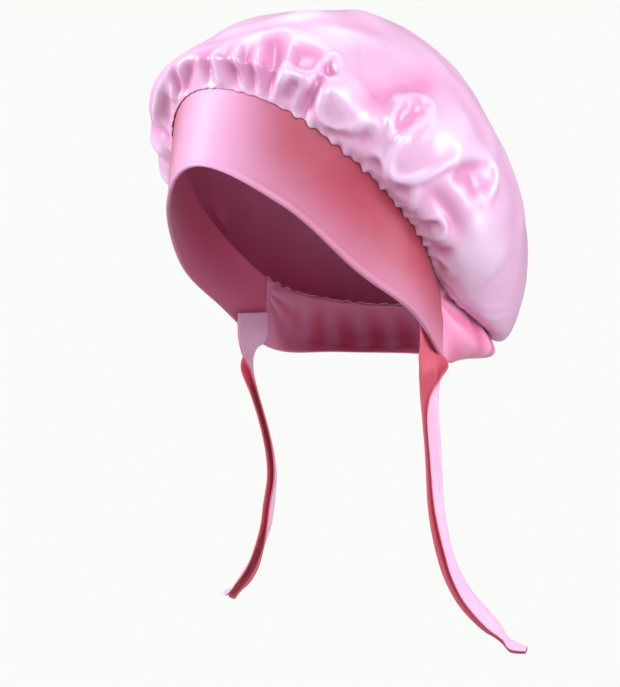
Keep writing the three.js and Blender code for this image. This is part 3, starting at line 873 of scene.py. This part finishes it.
def woven(name, hollow_shade, fold_light, roughness, **sockets):
    """Cloth with painted shade in its hollows and painted light on its folds, with random tone and a
    fine weave.
    """
    made = material(name, fold_light, roughness, **sockets)
    tree = made.node_tree
    shader = tree.nodes["Principled BSDF"]
    cut = add(tree, "UVMap", {}, uv_map="cut").outputs["UV"]
    place = add(tree, "TexCoord", {}).outputs["Object"]
    stand = add(tree, "Attribute", {}, attribute_name="stand").outputs["Fac"]
    patches = add(tree, "TexNoise", {"Vector": place, **PATCHES}).outputs["Fac"]
    varied = {"Value": patches, "To Min": -SHADE_VARIES, "To Max": SHADE_VARIES}
    uneven = add(tree, "MapRange", varied).outputs["Result"]
    tone = add(tree, "Math", {0: stand, 1: uneven}, operation="ADD", use_clamp=True)
    # Painted shade and light: the stand value mixes the shaded colour of the hollows with the lit
    # colour of the folds.
    shades = {0: tone.outputs["Value"], 6: (*hollow_shade, 1), 7: (*fold_light, 1)}
    colour = add(tree, "Mix", shades, data_type="RGBA").outputs[2]
    tree.links.new(colour, shader.inputs["Base Color"])
    dull, glossy = roughness + GLOSS_VARIES, roughness - GLOSS_VARIES
    gloss = add(tree, "MapRange", {"Value": patches, "To Min": dull, "To Max": glossy})
    tree.links.new(gloss.outputs["Result"], shader.inputs["Roughness"])
    threads = add(tree, "Mapping", {"Vector": cut, "Scale": (*THREADS, 1)}).outputs["Vector"]
    floats = add(tree, "TexNoise", {"Vector": threads, **THREAD_NOISE}).outputs["Fac"]
    crumple = add(tree, "TexNoise", {"Vector": place, **CRUMPLES}).outputs["Fac"]
    weave = add(tree, "Bump", {"Height": floats, **THREAD_BUMP}).outputs["Normal"]
    rumpled = add(tree, "Bump", {"Height": crumple, "Normal": weave, **CRUMPLE_BUMP})
    tree.links.new(rumpled.outputs["Normal"], shader.inputs["Normal"])
    tangent = add(tree, "Tangent", {}, direction_type="UV_MAP", uv_map="cut")
    tree.links.new(tangent.outputs["Tangent"], shader.inputs["Tangent"])
    return made


def camera():
    turn, rise = math.radians(CAMERA["azimuth"]), math.radians(CAMERA["elevation"])
    right = Vector((math.cos(turn), math.sin(turn), 0))
    level = math.cos(rise)
    back = Vector((math.sin(turn) * level, -math.cos(turn) * level, math.sin(rise)))
    target = right * CAMERA["aside"] + Vector((0, 0, CAMERA["height"]))
    data = bpy.data.cameras.new("camera")
    data.sensor_width = SENSOR
    data.lens = FOCAL_PIXELS / PICTURE_HEIGHT * SENSOR
    made = bpy.data.objects.new("camera", data)
    made.location = (target + back * CAMERA["distance"]) * MM
    made.rotation_mode = "QUATERNION"
    made.rotation_quaternion = (-back).to_track_quat("-Z", "Y")
    bpy.context.scene.collection.objects.link(made)
    bpy.context.scene.camera = made
    return right, back


def softbox(name, towards, distance, size, power, colour):
    data = bpy.data.lights.new(name, "AREA")
    data.shape = "RECTANGLE"
    data.size, data.size_y = size
    data.energy = power
    data.color = colour
    made = bpy.data.objects.new(name, data)
    direction = Vector(towards).normalized()
    made.location = direction * distance + Vector((0, 0, LIGHTS_ABOVE))
    made.rotation_mode = "QUATERNION"
    made.rotation_quaternion = (-direction).to_track_quat("-Z", "Y")
    bpy.context.scene.collection.objects.link(made)


def surroundings(right, back):
    world = bpy.data.worlds.new("world")
    bpy.context.scene.world = world
    world.use_nodes = True
    nodes, links = world.node_tree.nodes, world.node_tree.links
    seen = nodes["Background"]
    seen.inputs["Color"].default_value = BACKDROP
    lit = nodes.new("ShaderNodeBackground")
    for socket, value in ROOM_LIGHT.items():
        lit.inputs[socket].default_value = value
    mix = nodes.new("ShaderNodeMixShader")
    path = nodes.new("ShaderNodeLightPath")
    links.new(path.outputs["Is Camera Ray"], mix.inputs["Fac"])
    links.new(lit.outputs["Background"], mix.inputs[1])
    links.new(seen.outputs["Background"], mix.inputs[2])
    links.new(mix.outputs["Shader"], nodes["World Output"].inputs["Surface"])
    up = Vector((0, 0, 1))
    for name, (aside, near, above), distance, size, power, colour in LIGHTS:
        towards = right * aside + back * near + up * above
        softbox(name, towards, distance, size, power, colour)
    centre = (0, 0, FLOOR["height"] * MM)
    bpy.ops.mesh.primitive_circle_add(
        vertices=FLOOR["corners"], radius=FLOOR["radius"] * MM, fill_type="NGON", location=centre
    )
    floor = bpy.context.object
    floor.name = "floor"
    floor.data.materials.append(pale_floor())


def pale_floor():
    """A matte floor that the camera sees in the colour of the backdrop."""
    made = material("pale_floor", FLOOR["colour"], FLOOR_ROUGHNESS)
    tree = made.node_tree
    shown = add(tree, "Emission", {"Color": BACKDROP})
    path = add(tree, "LightPath", {})
    shader = tree.nodes["Principled BSDF"]
    both = add(tree, "MixShader", {0: path.outputs["Is Camera Ray"], 1: shader.outputs["BSDF"]})
    tree.links.new(shown.outputs["Emission"], both.inputs[2])
    tree.links.new(both.outputs["Shader"], tree.nodes["Material Output"].inputs["Surface"])
    return made


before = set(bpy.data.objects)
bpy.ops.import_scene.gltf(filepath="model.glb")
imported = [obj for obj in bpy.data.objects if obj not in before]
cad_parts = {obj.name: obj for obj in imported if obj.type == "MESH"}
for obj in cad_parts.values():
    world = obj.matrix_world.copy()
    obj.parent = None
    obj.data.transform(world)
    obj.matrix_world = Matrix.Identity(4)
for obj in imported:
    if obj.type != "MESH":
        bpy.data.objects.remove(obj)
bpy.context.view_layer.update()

bpy.context.scene.view_settings.view_transform = "Standard"
# Each cloth's colour in its hollows, as painted shade, its colour on its folds, as painted light,
# and its roughness, and other sockets. The band's deep red is its painted shade under the crown.
satin = woven("satin", (0.72, 0.27, 0.50), (0.86, 0.60, 0.82), 0.33, IOR=1.9, Anisotropic=0.3)
satin_back = woven("satin_back", (0.66, 0.16, 0.32), (0.78, 0.28, 0.48), 0.5, Sheen_Weight=0.2)
band_satin = woven(
    "band_satin", (0.44, 0.045, 0.085), (0.76, 0.36, 0.58), 0.45, IOR=1.5, Sheen_Weight=0.15
)
matte = woven(
    "matte_satin", (0.70, 0.12, 0.25), (0.82, 0.32, 0.54), 0.48, IOR=1.6, Sheen_Weight=0.2
)
tie_face = woven(
    "tie_satin", (0.76, 0.26, 0.46), (0.87, 0.56, 0.78), 0.45, IOR=1.6, Sheen_Weight=0.2
)
# The ties' dull reverse side, also painted a deep red as painted shade.
tie_back_and_shade = woven("tie_back_and_shade", (0.54, 0.06, 0.10), (0.66, 0.12, 0.18), 0.55, Sheen_Weight=0.1)

crown = crown_piece()
band = band_piece()
nape = nape_piece()
left = tie_piece("tie_left_cloth", 1)
right_tie = tie_piece("tie_right_cloth", -1)
for piece, node, slot, outside, inside in (
    (crown, "crown", "crown_satin", satin, satin_back),
    (band, "band", "band_cloth", band_satin, matte),
    (nape, "nape_piece", "band_cloth", matte, matte),
    (left, "tie_left", "tie_cloth", tie_back_and_shade, tie_face),
    (right_tie, "tie_right", "tie_cloth", tie_back_and_shade, tie_face),
):
    piece.data.materials.append(outside)
    piece.data.materials.append(inside)
    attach(piece, "root")
    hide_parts(node)

right, back = camera()
surroundings(right, back)
